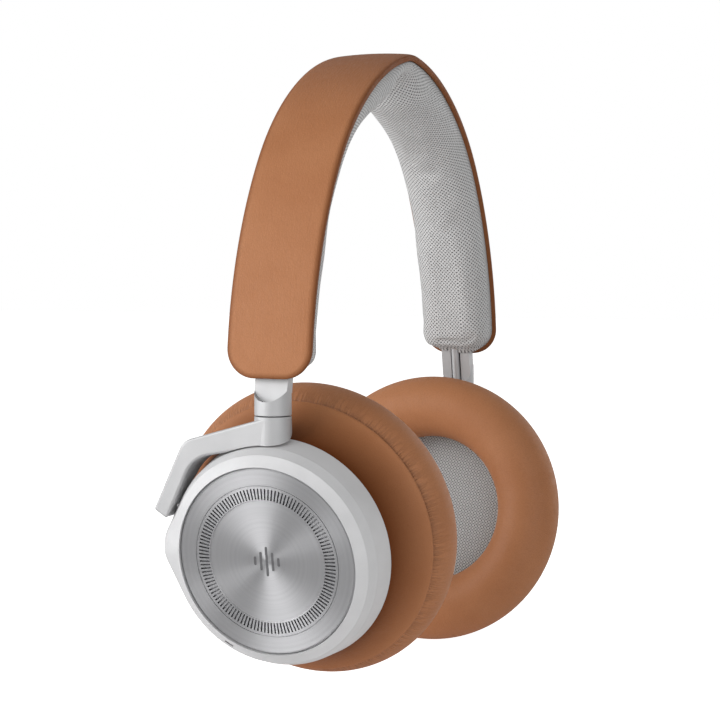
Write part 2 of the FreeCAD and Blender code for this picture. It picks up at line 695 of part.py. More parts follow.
def skirt():
    foot = [(RING_FOOT, RING_FOOT_RADIUS - 0.2), (RING_FOOT, RING_BORE)]
    rim = [(SKIRT_RIM, SKIRT_RIM_RADIUS - SKIRT_WALL), (SKIRT_RIM - 0.3, SKIRT_RIM_RADIUS - 0.6),
           (SKIRT_RIM, SKIRT_RIM_RADIUS)]
    at = {i: vec(h, 0, r) for i, (h, r) in enumerate(foot + rim)}
    middle = vec(SKIRT_MIDDLE[0], 0, SKIRT_MIDDLE[1])
    inner_middle = vec(SKIRT_MIDDLE[0] - 0.2, 0, SKIRT_MIDDLE[1] - SKIRT_WALL)
    edges = [Part.LineSegment(at[0], at[1]).toShape(), Part.Arc(at[1], inner_middle, at[2]).toShape(),
             Part.LineSegment(at[2], at[3]).toShape(), Part.LineSegment(at[3], at[4]).toShape(),
             Part.Arc(at[4], middle, at[0]).toShape()]
    return face_of(edges).revolve(ORIGIN, X_AXIS, 360)


def cushion():
    ring = Part.makeTorus(CUSHION_RADIUS, CUSHION_TUBE, ORIGIN, X_AXIS)
    reach = CUSHION_RADIUS + CUSHION_TUBE + 1
    return ring.common(disc(-CUSHION_TUBE - 1, CUSHION_BACK, reach))


def clip_ring():
    back, bore, radius = CLIP
    clip = tube(CUSHION_BACK, back, bore, radius)
    notch = box(back - CLIP_NOTCH[0], FAR, radius - CLIP_NOTCH[1], FAR, -CLIP_NOTCH[2], CLIP_NOTCH[2])
    for angle in (45, 135, 225, 315):
        clip = clip.cut(turned(notch, X_AXIS, angle))
    return clip


def baffle():
    front = CLIP[0]
    back = CHASSIS_FLANGE[0]
    plate = tube(front, back, DRIVER_RADIUS + 0.1, BAFFLE_RADIUS)
    collar = tube(BAFFLE_COLLAR[0], front, DRIVER_RADIUS + 0.1, BAFFLE_COLLAR[1])
    vent = rod(VENT_RADIUS, vec(front - 1, VENT_CIRCLE, 0), vec(back + 1, VENT_CIRCLE, 0))
    plate = plate.fuse(collar).removeSplitter()
    for i in range(VENT_COUNT):
        plate = plate.cut(turned(vent, X_AXIS, 20 + 360 * i / VENT_COUNT))
    for hole in screw_bodies():
        plate = plate.cut(hole)
    return plate


def screw_bodies():
    radius, height = SCREW_HEAD
    front = CLIP[0]
    head = rod(radius, vec(front, SCREW_CIRCLE, 0), vec(front + height, SCREW_CIRCLE, 0))
    shank = rod(SCREW_SHANK, vec(front + height / 2, SCREW_CIRCLE, 0),
                vec(CHASSIS_FLANGE[1], SCREW_CIRCLE, 0))
    screw = head.fuse(shank).removeSplitter()
    return [turned(screw, X_AXIS, angle) for angle in SCREW_ANGLES]


def cup_screws():
    front = CLIP[0]
    half = SCREW_RECESS / 2
    recess = box(front - half, front + 0.4, SCREW_CIRCLE - 1, SCREW_CIRCLE + 1, -half, half)
    recesses = [turned(recess, X_AXIS, angle) for angle in SCREW_ANGLES]
    return [screw.cut(slot) for screw, slot in zip(screw_bodies(), recesses)]


def driver_frame():
    front = BAFFLE_COLLAR[0]
    shoulder, floor = BASKET_FLOOR
    inner = DRIVER_RADIUS - 1.3
    frame = lathe([(front, inner), (front, DRIVER_RADIUS), (shoulder, DRIVER_RADIUS), (floor, 12.0),
                   (floor, BASKET_THROAT), (floor - 1, BASKET_THROAT), (floor - 1, 11.4),
                   (shoulder - 0.8, inner)])
    near, far, half = BASKET_WINDOW
    window = box(shoulder - 1.6, floor + 1, near, far, -half, half)
    for i in range(BASKET_WINDOWS):
        frame = frame.cut(turned(window, X_AXIS, 360 * i / BASKET_WINDOWS))
    return frame


def driver_magnet():
    """Pole, plate and cup of the magnet, with a vent hole at the back."""
    floor = BASKET_FLOOR[1]
    pole = BASKET_THROAT - 1.2
    vent = 1.5
    return lathe([(floor - 2.4, 0), (floor - 2.4, pole), (floor - 1, pole), (floor - 1, BASKET_THROAT),
                  (floor + 4, BASKET_THROAT), (floor + 4, vent), (floor + 3, vent), (floor + 3, 0)])


def driver_diaphragm():
    """Domed centre, a trough at the voice coil and a rolled surround, as (above the rim, radius)."""
    front = [(-1.0, 0), (-0.6, 5.0), (0.6, 8.6), (-0.5, 14.0), (0, 19.1)]
    back = [(0.4, 19.1), (0, 14.0), (1.1, 8.6), (0, 5.0), (-0.4, 0)]
    return lathe([(DIAPHRAGM_RIM + h, r) for h, r in front + back])


def driver_grille():
    front, radius = GRILLE
    back = BAFFLE_COLLAR[0]
    plate = disc(front, back, radius)
    holes = []
    for ring_radius, count in GRILLE_RINGS:
        hole = rod(GRILLE_HOLE, vec(front - 0.4, ring_radius, 0), vec(back + 0.8, ring_radius, 0))
        holes += [turned(hole, X_AXIS, 360 * i / count) for i in range(count)]
    return plate.cut(Part.makeCompound(holes))


def ear_cloth():
    return disc(CLOTH[0], GRILLE[0], CLOTH[1])


def circuit_board(side):
    back, front, radius = BOARD
    board = disc(back, front, radius).cut(box(back - 1, front + 1, BOARD_FLAT, radius, -radius, radius))
    for height, *edges in CHIPS:
        board = board.fuse(box(back - height, back, *edges))
    board = board.removeSplitter()
    if side == "right":
        board = board.cut(jack_block()).cut(usb_shell(0.4))
    return board


def microphone():
    height, depth, width = MIC_SIZE
    front = CHASSIS_ROOF[1] - 0.4
    face = SHELF_SLOT[0] + 0.15
    capsule = box(front - height, front, face, face + depth, -width / 2, width / 2)
    return turned(capsule, X_AXIS, MIC_ANGLE)


def battery():
    length, width, corner = BATTERY
    half = length / 2
    side = width / 2
    sketch = [(-half, -side, corner), (half, -side, corner), (half, side, corner), (-half, side, corner)]
    return rounded_prism(sketch, *BATTERY_LEVEL)


def push_button(angle):
    """Cap with a flange behind the ring's wall."""
    back = BUTTON_FACE - 3.1
    cap = wall_slot(BUTTON_SIZE, angle, back, BUTTON_FACE)
    rim = (BUTTON_SIZE[0] + BUTTON_RIM[0], BUTTON_SIZE[1] + BUTTON_RIM[1])
    return cap.fuse(wall_slot(rim, angle, back - 0.3, back + 0.4)).removeSplitter()


def power_switch():
    """Sliding knob, shorter than its slot, with grooves across it and a foot behind the wall."""
    angle = BUTTON_ANGLE["power_switch"]
    back = SWITCH_FACE - 3.3
    knob = wall_slot((SWITCH_KNOB, SWITCH_SLOT[1]), angle, back, SWITCH_FACE)
    foot = wall_slot((SWITCH_KNOB + 1.2, SWITCH_SLOT[1] + BUTTON_RIM[1]), angle, back - 0.5, back + 0.3)
    knob = knob.fuse(foot).removeSplitter()
    for offset in (-SWITCH_RIB, 0.0, SWITCH_RIB):
        groove = box(PORT_H - 4, PORT_H + 4, SWITCH_FACE - 0.3, SWITCH_FACE + 1, offset - 0.25, offset + 0.25)
        knob = knob.cut(turned(groove, X_AXIS, angle))
    return knob


def usb_shell(grow):
    return wall_slot(wider(USB_SHELL, 2 * grow), USB_ANGLE, USB_REACH[0] - grow, USB_REACH[1])


def usb_socket():
    mouth = wall_slot(USB_MOUTH, USB_ANGLE, USB_FLOOR, FAR)
    tongue = wall_slot(USB_TONGUE, USB_ANGLE, USB_FLOOR - 0.2, USB_TONGUE_END)
    return usb_shell(0.0).cut(mouth).fuse(tongue).removeSplitter()


def jack_block(reach=JACK_CUT_REACH):
    """The socket's round body, out to a radius; the default reaches past the ring, to cut its opening."""
    barrel = rod(JACK_BODY_RADIUS, vec(JACK_H, JACK_BACK, 0), vec(JACK_H, reach, 0))
    return turned(barrel, X_AXIS, JACK_ANGLE)


def jack_socket():
    bore = rod(JACK_BORE_RADIUS, vec(JACK_H, JACK_FLOOR, 0), vec(JACK_H, JACK_CUT_REACH, 0))
    return jack_block(JACK_FACE).cut(turned(bore, X_AXIS, JACK_ANGLE))


# ---- write every node ----
def write_headband():
    save("band_cover", band_cover())
    save("spring_band", spring_band())
    save("band_pad", band_pad())
    springs = []
    for side in SIDES:
        save("slider_housing_" + side, at_band_end(slider_housing(), side))
        springs.append(at_band_end(detent_spring(), side))
    save("detent_springs", Part.makeCompound(springs))


def write_sliders_and_yokes():
    path = cup_path()
    stem_nodes = {"slider_stem": slider_stem(), "cable_conduit": conduit(), "slider_stop": slider_stop()}
    yoke_nodes = {"yoke_arm": yoke_arm(path), "arm_liner": arm_liner(path),
                  "swivel_pin": swivel_pin(), "tilt_pin": tilt_pin()}
    for side in SIDES:
        for name, shape in stem_nodes.items():
            save(name + "_" + side, at_stem(shape, side))
        for name, shape in yoke_nodes.items():
            save(name + "_" + side, at_yoke(shape, side))


def write_cups():
    shared = {"touch_disc": touch_disc(), "slot_mesh": slot_mesh(), "disc_emblem": disc_emblem(),
              "skirt": skirt(), "cushion": cushion(), "clip_ring": clip_ring(), "baffle": baffle(),
              "driver_frame": driver_frame(), "driver_magnet": driver_magnet(),
              "driver_diaphragm": driver_diaphragm(), "driver_grille": driver_grille(),
              "ear_cloth": ear_cloth(), "microphone": microphone(),
              "cup_screws": Part.makeCompound(cup_screws())}
    for side in SIDES:
        for name, shape in shared.items():
            save(name + "_" + side, at_cup(shape, side))
        save("outer_ring_" + side, at_cup(outer_ring(side), side))
        save("chassis_" + side, at_cup(chassis(side), side))
        save("circuit_board_" + side, at_cup(circuit_board(side), side))
    save("battery", at_cup(battery(), "left"))
    save("noise_button", at_cup(push_button(BUTTON_ANGLE["noise_button"]), "left"))
    save("voice_button", at_cup(push_button(BUTTON_ANGLE["voice_button"]), "right"))
    save("power_switch", at_cup(power_switch(), "right"))
    save("usb_socket", at_cup(usb_socket(), "right"))
    save("jack_socket", at_cup(jack_socket(), "right"))


os.makedirs("parts", exist_ok=True)
write_headband()
write_sliders_and_yokes()
write_cups()
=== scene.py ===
import json
import math

import bpy
import numpy as np
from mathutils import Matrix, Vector


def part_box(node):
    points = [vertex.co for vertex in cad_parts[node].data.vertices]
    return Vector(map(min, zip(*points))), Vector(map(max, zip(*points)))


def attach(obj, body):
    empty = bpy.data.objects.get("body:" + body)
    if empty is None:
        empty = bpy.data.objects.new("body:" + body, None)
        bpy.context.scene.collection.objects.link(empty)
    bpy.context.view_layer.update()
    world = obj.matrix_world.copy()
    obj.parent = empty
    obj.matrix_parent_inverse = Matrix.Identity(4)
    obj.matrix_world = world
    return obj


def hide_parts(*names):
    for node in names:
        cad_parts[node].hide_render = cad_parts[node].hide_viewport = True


# Looks of the over ear headphones, in metres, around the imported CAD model.
# +X runs from the left cup to the right cup, +Y towards the yoke arms, +Z up.

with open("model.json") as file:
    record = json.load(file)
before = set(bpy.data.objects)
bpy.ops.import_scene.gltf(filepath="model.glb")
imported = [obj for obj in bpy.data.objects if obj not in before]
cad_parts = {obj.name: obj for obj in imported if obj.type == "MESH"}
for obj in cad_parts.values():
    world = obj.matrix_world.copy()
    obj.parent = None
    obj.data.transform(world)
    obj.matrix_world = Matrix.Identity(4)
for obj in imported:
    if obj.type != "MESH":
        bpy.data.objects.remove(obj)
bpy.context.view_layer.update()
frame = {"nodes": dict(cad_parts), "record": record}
nodes = frame["nodes"]
scene = bpy.context.scene
rng = np.random.default_rng(7)
MM = 0.001
SIDES = ("left", "right")


# ---- meshes ----
def new_mesh(name, points, faces, body, replaced):
    """A smooth mesh that rides on a CAD body and stands in for the replaced nodes."""
    mesh = bpy.data.meshes.new(name)
    mesh.from_pydata([tuple(p) for p in points], [], faces)
    mesh.validate()
    mesh.shade_smooth()
    piece = bpy.data.objects.new(name, mesh)
    scene.collection.objects.link(piece)
    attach(piece, body)
    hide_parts(*replaced)
    return piece


def grid_faces(rows, columns, close_rows=False, close_columns=False, start=0):
    """Quads over a grid of points numbered row by row."""
    faces = []
    for i in range(rows if close_rows else rows - 1):
        for j in range(columns if close_columns else columns - 1):
            k = (i + 1) % rows
            m = (j + 1) % columns
            faces.append((start + i * columns + j, start + i * columns + m,
                          start + k * columns + m, start + k * columns + j))
    return faces


def grid_rim(rows, columns):
    """The numbers of the points round the outside of a grid, in order."""
    rim = list(range(columns))
    rim += [i * columns + columns - 1 for i in range(1, rows)]
    rim += [(rows - 1) * columns + j for j in range(columns - 2, -1, -1)]
    rim += [i * columns for i in range(rows - 2, 0, -1)]
    return rim


def point_vector(piece, name, values):
    layer = piece.data.attributes.new(name, "FLOAT_VECTOR", "POINT")
    layer.data.foreach_set("vector", np.asarray(values, np.float32).ravel())


def point_value(piece, name, values):
    layer = piece.data.attributes.new(name, "FLOAT", "POINT")
    layer.data.foreach_set("value", np.asarray(values, np.float32))


def coordinates(mesh):
    found = np.zeros(len(mesh.vertices) * 3)
    mesh.vertices.foreach_get("co", found)
    return found.reshape(-1, 3)


def set_coordinates(mesh, points):
    mesh.vertices.foreach_set("co", np.asarray(points, np.float32).ravel())
    mesh.update()


def ease(x):
    """A smooth step from 0 to 1."""
    x = float(np.clip(x, 0.0, 1.0))
    return x * x * (3 - 2 * x)


def round_off(distance, radius):
    """Share of a quarter circle's height at a distance from where it starts; 1 past the radius."""
    into = max(1 - distance / radius, 0)
    return math.sqrt(max(1 - into * into, 0))


# ---- the band's line, as in the CAD: tight crown, wide shoulders, straighter sides ----
# A heading is the slope of the band in degrees: 0 at the crown, negative on the left.
CROWN_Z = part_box("band_cover")[1].z
CROWN_RADIUS = 21.0 * MM
SHOULDER_RADIUS = 82.8 * MM
SIDE_RADIUS = 123.5 * MM
CROWN_HEADING = 8.9
SHOULDER_HEADING = 55.0
END_HEADING = 88.0
FAR = 1.0


def band_point(heading, depth, y):
    """A point under the band's outer line, at a depth measured square to it."""
    side = -1 if heading < 0 else 1
    slope = abs(heading)
    x = 0.0
    z = CROWN_Z - CROWN_RADIUS
    radius = CROWN_RADIUS
    for limit, wider in ((CROWN_HEADING, SHOULDER_RADIUS), (SHOULDER_HEADING, SIDE_RADIUS)):
        if slope > limit:
            angle = math.radians(limit)
            x += (radius - wider) * math.sin(angle)
            z += (radius - wider) * math.cos(angle)
            radius = wider
    angle = math.radians(slope)
    x += (radius - depth) * math.sin(angle)
    z += (radius - depth) * math.cos(angle)
    return (side * x, y, z)


def band_length(heading):
    """Length along the band from the crown, with the heading's sign."""
    slope = abs(heading)
    total = math.radians(min(slope, CROWN_HEADING)) * CROWN_RADIUS
    total += math.radians(max(min(slope, SHOULDER_HEADING) - CROWN_HEADING, 0)) * SHOULDER_RADIUS
    total += math.radians(max(slope - SHOULDER_HEADING, 0)) * SIDE_RADIUS
    return math.copysign(total, heading)


def past(heading, start, span):
    """0 up to a start heading and 1 from a span beyond it, on either side of the crown."""
    return ease((abs(heading) - start) / span)


def distance_to_end(heading, end):
    """Length along the band to the heading of an end; only the sides come near one."""
    if abs(heading) < SHOULDER_HEADING:
        return FAR
    return math.radians(end - abs(heading)) * SIDE_RADIUS


def band_stations(end, corner):
    """Headings along the band, close together in the rounded ends and at the crown."""
    half = [end - math.degrees(corner * (1 - math.cos(math.radians(a))) / SIDE_RADIUS)
            for a in range(0, 91, 6)]
    half += list(np.linspace(half[-1], SHOULDER_HEADING, 26)[1:])
    half += list(np.linspace(SHOULDER_HEADING, CROWN_HEADING, 34)[1:])
    half += list(np.linspace(CROWN_HEADING, 0, 7)[1:])
    return [-h for h in half[:-1]] + half[::-1]


# ---- the band's leather ----
BAND_HALF = 13.7 * MM
BAND_CORNER = 9.0 * MM
LEATHER = 2.0 * MM
CROWN_FOLD = 0.8 * MM
EDGE_ROLL = 3.2 * MM
ROLL_DROP = 0.55 * MM
EDGE_SOFTENING = 0.5 * MM
SOFTENING_RISE = 0.3 * MM
BAND_SEAM = 3.0 * MM
CROWNED_MIDDLE = 0.7 * MM
CROWNED_SIDES = 0.2 * MM
EDGE_WEAR = 1.4 * MM
# Painted shade: how far the colour darkens over the band's crown.
CROWN_PAINTED_SHADE = 0.6
# Shares of the half width in from the edge, closest together where the leather rolls over.
INSETS = np.array([0, 0.06, 0.16, 0.32, 0.55, 0.85, 1.25, 1.8, 2.6, 3.6, 5, 7, 9.2, 11.4, 13.5]) / 13.5


def edge_depth(heading):
    """The folded edge is thickest at the crown and thins towards the ends."""
    return LEATHER + CROWN_FOLD * (1 - past(heading, 30.0, 35.0))


def in_from_edge(y, to_end):
    """Distance from the outline, which has straight sides, a straight end and round corners."""
    straight = BAND_HALF - BAND_CORNER
    if to_end < BAND_CORNER and abs(y) > straight:
        return max(BAND_CORNER - math.hypot(abs(y) - straight, BAND_CORNER - to_end), 0)
    return max(min(BAND_HALF - abs(y), to_end), 0)


def leather_depths(heading, y, inset):
    """Depths of the leather's softly crowned face, which rolls over the edge, and of its back."""
    roll = max(1 - inset / EDGE_ROLL, 0)
    crowned = CROWNED_MIDDLE - (CROWNED_MIDDLE - CROWNED_SIDES) * past(heading, 25.0, 35.0)
    face = ROLL_DROP * (1 - math.sqrt(max(1 - roll ** 3, 0))) + crowned * (y / BAND_HALF) ** 2
    fold = edge_depth(heading)
    back = fold - SOFTENING_RISE * max(1 - inset / EDGE_SOFTENING, 0) ** 2
    back -= (fold - LEATHER) * ease((inset / MM - 0.8) / 2.0)
    return face, back


def band_leather():
    """Folded leather strip over the whole band."""
    across = np.concatenate([-(1 - INSETS[:-1]), [0], (1 - INSETS[:-1])[::-1]])
    stations = band_stations(END_HEADING, BAND_CORNER)
    top, bottom, flow, seam, wear_and_painted_shade = [], [], [], [], []
    for heading in stations:
        to_end = distance_to_end(heading, END_HEADING)
        half = BAND_HALF - BAND_CORNER + BAND_CORNER * round_off(to_end, BAND_CORNER)
        # Painted shade darkens the crown and real wear darkens the edges; both go into one mask.
        crown_painted_shade = CROWN_PAINTED_SHADE * (1 - past(heading, 2.0, 40.0))
        for y in half * across:
            inset = in_from_edge(y, to_end)
            face, back = leather_depths(heading, y, inset)
            top.append(band_point(heading, face, y))
            bottom.append(band_point(heading, back, y))
            flow.append((y, 0, band_length(heading)))
            seam.append(max(1 - inset / BAND_SEAM, 0))
            wear_and_painted_shade.append(max(1 - inset / EDGE_WEAR, crown_painted_shade, 0))
    rows, columns = len(stations), len(across)
    count = rows * columns
    faces = [f[::-1] for f in grid_faces(rows, columns)]
    faces += grid_faces(rows, columns, start=count)
    rim = grid_rim(rows, columns)
    for a, b in zip(rim, rim[1:] + rim[:1]):
        faces.append((a, b, b + count, a + count))
    piece = new_mesh("band_leather", top + bottom, faces, "band", ("band_cover",))
    point_value(piece, "wear_and_painted_shade", wear_and_painted_shade + wear_and_painted_shade)
    point_vector(piece, "flow", flow + flow)
    point_value(piece, "seam", seam + seam)
    return piece


# ---- the pad under the band ----
PAD_HALF = 12.7 * MM
PAD_TOP = 3.0 * MM
SEAM_GAP = 0.15 * MM
PAD_SEAM = 1.6 * MM
PAD_CROWN_DEPTH = 7.0 * MM
PAD_SIDE_DEPTH = 12.0 * MM
PAD_BULGE = 1.8 * MM
PAD_END = END_HEADING - math.degrees(1.2 * MM / SIDE_RADIUS)
PAD_NOSE = 8.0 * MM
PAD_NOSE_DEPTH = 3.2 * MM
PAD_NOSE_SHARE = 0.3
PAD_SHELF = 9.2 * MM
PAD_SHELF_RISE = 1.6 * MM
PAD_LOOP = 48
FULL_CROWN = 0.58
FULL_SIDES = 0.84
FULL_ENDS = 0.52


def pad_depth(heading):
    """Thin over the crown, then two thicker side pads, fullest at their upper ends."""
    rise = past(heading, 7.0, 14.0)
    bulge = past(heading, 9.0, 10.0) * (1 - past(heading, 26.0, 26.0))
    return PAD_CROWN_DEPTH + (PAD_SIDE_DEPTH - PAD_CROWN_DEPTH) * rise + PAD_BULGE * bulge


def pad_section(heading):
    """One slice through the pad: (y, depth) pairs round it, and the depth of its seams."""
    to_end = distance_to_end(heading, PAD_END)
    half = PAD_HALF - PAD_NOSE + PAD_NOSE * round_off(to_end, PAD_NOSE)
    high = edge_depth(heading) + SEAM_GAP
    swell = PAD_NOSE_SHARE + (1 - PAD_NOSE_SHARE) * round_off(to_end, PAD_NOSE_DEPTH)
    deep = high + (pad_depth(heading) - high) * swell
    # A small exponent makes the slice boxy, as it is at the ends, and a large one makes it round.
    fullness = FULL_CROWN + (FULL_SIDES - FULL_CROWN) * past(heading, 24.0, 26.0)
    fullness -= (FULL_SIDES - FULL_ENDS) * past(heading, 62.0, 9.0)
    section = []
    for j in range(PAD_LOOP):
        angle = 2 * math.pi * j / PAD_LOOP
        c, s = math.cos(angle), math.sin(angle)
        y = half * math.copysign(abs(c) ** fullness, c)
        if s >= 0:
            depth = high + (deep - high) * s ** fullness
        else:
            depth = PAD_TOP + (high - PAD_TOP) * ease((abs(y) - PAD_SHELF) / PAD_SHELF_RISE)
        section.append((y, depth))
    return section, high


def band_pad():
    """Pillow of knit over foam, seamed to the leather along its upper edges."""
    stations = band_stations(PAD_END - 0.1, PAD_NOSE)
    points, flow, seam, pinned = [], [], [], []
    middle = PAD_LOOP // 4
    for heading in stations:
        section, high = pad_section(heading)
        for j, (y, depth) in enumerate(section):
            points.append(band_point(heading, depth, y))
            shown = j <= PAD_LOOP // 2
            near, far = sorted((j, middle)) if shown else (0, 0)
            run = sum(math.dist(section[k], section[k + 1]) for k in range(near, far))
            flow.append((math.copysign(run, y), 0, band_length(heading)))
            seam.append(max(1 - (depth - high) / PAD_SEAM, 0) if shown else 1.0)
            pinned.append(0.0 if 0 < j < PAD_LOOP // 2 else 1.0)
    rows = len(stations)
    faces = [f[::-1] for f in grid_faces(rows, PAD_LOOP, close_columns=True)]
    faces.append(tuple(range(PAD_LOOP)))
    faces.append(tuple(range(rows * PAD_LOOP - 1, (rows - 1) * PAD_LOOP - 1, -1)))
    piece = new_mesh("band_pad_knit", points, faces, "band", ("band_pad",))
    point_vector(piece, "flow", flow)
    point_value(piece, "seam", seam)
    return piece, pinned


# ---- a cup's own axes, read from the ear cloth's disc ----
CLOTH_HEIGHT = 6.15 * MM


class Cup:
    """Heights run outwards from the cushion's plane along the cup's axis; angle 0 is towards +Y."""

    def __init__(self, side):
        points = coordinates(nodes["ear_cloth_" + side].data)
        centre = (points.min(0) + points.max(0)) / 2
        normal = np.linalg.svd(points - points.mean(0), full_matrices=False)[2][2]
        self.side = side
        self.body = "cup_" + side
        self.out = normal * math.copysign(1.0, normal[0] * centre[0])
        self.origin = centre - self.out * CLOTH_HEIGHT
        self.y = self.in_plane(0.0, 1.0, 0.0)
        self.z = self.in_plane(0.0, 0.0, 1.0)

    def in_plane(self, *way):
        """The unit vector nearest to a direction that is square to the axis."""
        flattened = np.array(way) - self.out * (np.array(way) @ self.out)
        return flattened / np.linalg.norm(flattened)

    def at(self, height, radius, angle):
        radial = self.y * math.cos(angle) + self.z * math.sin(angle)
        return tuple(self.origin + self.out * height + radial * radius)


# ---- cushions ----
CUSHION_RADIUS = 35.2 * MM
CUSHION_TUBE = 10.9 * MM
CUSHION_BACK = 8.4 * MM
CUSHION_ROOM = 0.45 * MM
CUSHION_ROUND = 220
SOFT_STEPS = 45
BACK_STEPS = 11
OUTER_GATHER = 8.0 * MM
INNER_GATHER = 17.0 * MM
PUCKER_DEPTH = 0.07 * MM
PUCKER_COUNTS = (71, 97, 131, 163)
PUCKER_LOBES = 5
PUCKER_PHASE = 6.28
PUCKER_TOP = 0.4


def cushion_section():
    """One slice: (height, radius, length run over the leather, nearness to a seam, pinned)."""
    start = math.asin(CUSHION_BACK / CUSHION_TUBE)
    tube = CUSHION_TUBE - CUSHION_ROOM
    turn = math.pi + 2 * start
    full = turn * tube
    section = []
    for j in range(SOFT_STEPS + 1):
        angle = start - turn * j / SOFT_STEPS
        run = full * (j / SOFT_STEPS)
        near = max(1 - run / OUTER_GATHER, 1 - (full - run) / INNER_GATHER, 0)
        pinned = 1.0 if j in (0, SOFT_STEPS) else 0.0
        section.append((tube * math.sin(angle), CUSHION_RADIUS + tube * math.cos(angle), run, near, pinned))
    for j in range(1, BACK_STEPS):
        radius = CUSHION_RADIUS - tube * math.cos(start) * (1 - 2 * (j / BACK_STEPS))
        section.append((tube * math.sin(start), radius, full, 1.0, 1.0))
    return section


def cushion(cup):
    """Soft ring: full at the front, drawn in at the seam by the skirt and round the ear opening."""
    points, flow, seam, pinned = [], [], [], []
    section = cushion_section()
    for k in range(CUSHION_ROUND):
        angle = 2 * math.pi * k / CUSHION_ROUND
        for height, radius, run, near, held in section:
            points.append(cup.at(height, radius, angle))
            flow.append((math.cos(angle) * CUSHION_RADIUS, math.sin(angle) * CUSHION_RADIUS, run))
            seam.append(near)
            pinned.append(held)
    faces = grid_faces(CUSHION_ROUND, len(section), close_rows=True, close_columns=True)
    if cup.side == "left":
        faces = [f[::-1] for f in faces]
    piece = new_mesh("cushion_leather_" + cup.side, points, faces, cup.body,
                     ("cushion_" + cup.side,))
    point_vector(piece, "flow", flow)
    point_value(piece, "seam", seam)
    return piece, pinned


def puckers(piece, cup):
    """Small gathered folds that run off the seams, deeper near them."""
    points = coordinates(piece.data)
    seam = np.zeros(len(points), np.float32)
    piece.data.attributes["seam"].data.foreach_get("value", seam)
    normals = np.zeros(len(points) * 3)
    piece.data.vertices.foreach_get("normal", normals)
    normals = normals.reshape(-1, 3)
    off = points - cup.origin
    angle = np.arctan2(off @ cup.z, off @ cup.y)
    wave = np.zeros(len(points))
    for count in PUCKER_COUNTS:
        strength = 0.6 + 0.4 * np.sin(PUCKER_LOBES * angle + count)
        wave += np.sin(count * angle + rng.uniform(0, PUCKER_PHASE)) * strength
    wave = np.minimum(wave, PUCKER_TOP) / 3.0
    set_coordinates(piece.data, points + normals * (wave * PUCKER_DEPTH * seam ** 2)[:, None])


# ---- padding: inflate a closed piece with cloth simulation ----
SIM_SCALE = 10.0
SIM_STEPS = 20
SIM_MASS = 0.05
SIM_STIFFNESS = 12.0
SIM_BENDING = 0.4
PAD_PRESSURE = 1.4
PAD_SWELL = 0.9 * MM
CUSHION_PRESSURE = 320.0
CUSHION_SWELL = 0.7 * MM


def simulate(mesh, pinned, pressure):
    """Points of a mesh after its cloth simulation under pressure, without gravity."""
    double = bpy.data.objects.new("simulated", mesh)
    scene.collection.objects.link(double)
    group = double.vertex_groups.new(name="pin")
    group.add([i for i, held in enumerate(pinned) if held > 0.5], 1.0, "REPLACE")
    cloth = double.modifiers.new("cloth", "CLOTH")
    settings = cloth.settings
    settings.vertex_group_mass = "pin"
    settings.use_pressure = True
    settings.uniform_pressure_force = pressure
    settings.effector_weights.gravity = 0.0
    settings.mass = SIM_MASS
    settings.tension_stiffness = SIM_STIFFNESS
    settings.compression_stiffness = SIM_STIFFNESS
    settings.bending_stiffness = SIM_BENDING
    cloth.point_cache.frame_start = 1
    cloth.point_cache.frame_end = SIM_STEPS
    for step in range(1, SIM_STEPS + 1):
        scene.frame_set(step)
    shape = double.evaluated_get(bpy.context.evaluated_depsgraph_get())
    points = coordinates(shape.data)
    bpy.data.objects.remove(double)
    scene.frame_set(1)
    return points


def inflate(piece, pinned, pressure, cap):
    """Simulate a copy at ten times the size; how far a point may move is capped."""
    rest = coordinates(piece.data)
    middle = rest.mean(0)
    mesh = piece.data.copy()
    set_coordinates(mesh, (rest - middle) * SIM_SCALE)
    moved = simulate(mesh, pinned, pressure) / SIM_SCALE + middle - rest
    bpy.data.meshes.remove(mesh)
    size = np.linalg.norm(moved, axis=1)
    print("inflated", piece.name, "mean %.2f mm, most %.2f mm" % (size.mean() / MM, size.max() / MM))
    moved *= (np.minimum(size, cap) / np.maximum(size, 1e-9))[:, None]
    set_coordinates(piece.data, rest + moved)


def subdivide(piece):
    """One level of subdivision, left as a modifier."""
    layer = piece.modifiers.new("subdivision", "SUBSURF")
    layer.levels = 1
    layer.render_levels = 1


# ---- ear cloths ----
EAR_RADIUS = 26.5 * MM
EAR_MIDDLE = 5.3 * MM
EAR_RIM_RISE = 0.8 * MM
EAR_RINGS = 22
EAR_SEGMENTS = 96


def ear_cloth(cup):
    """Woven cloth stretched over the driver's grille, a little nearer the ear in the middle."""
    points, flow = [cup.at(EAR_MIDDLE, 0, 0)], [(0, 0, 0)]
    for i in range(1, EAR_RINGS + 1):
        share = i / EAR_RINGS
        radius = EAR_RADIUS * i / EAR_RINGS
        for k in range(EAR_SEGMENTS):
            angle = 2 * math.pi * k / EAR_SEGMENTS
            points.append(cup.at(EAR_MIDDLE + EAR_RIM_RISE * share ** 2, radius, angle))
            flow.append((radius * math.cos(angle), radius * math.sin(angle), 0))
    faces = [(0, 1 + (k + 1) % EAR_SEGMENTS, 1 + k) for k in range(EAR_SEGMENTS)]
    faces += grid_faces(EAR_RINGS, EAR_SEGMENTS, close_columns=True, start=1)
    piece = new_mesh("ear_cloth_woven_" + cup.side, points, faces, cup.body,
                     ("ear_cloth_" + cup.side,))
    point_vector(piece, "flow", flow)
    return piece


# ---- skirts: (height, radius) pairs in the cup's own axes ----
SKIRT_FOOT = (22.3 * MM, 34.3 * MM)
SKIRT_MIDDLE = (14.9 * MM, 37.1 * MM)
SKIRT_RIM = (8.9 * MM, 42.4 * MM)
RIM_FOLD = [(8.62 * MM, 42.45 * MM), (8.38 * MM, 42.3 * MM), (8.3 * MM, 42.0 * MM),
            (8.45 * MM, 41.6 * MM), (8.75 * MM, 41.2 * MM)]
BACK_RIM = (9.0 * MM, 40.8 * MM)
BACK_MIDDLE = (14.7 * MM, 35.5 * MM)
BACK_FOOT = (22.3 * MM, 33.0 * MM)
SKIRT_SEGMENTS = 192


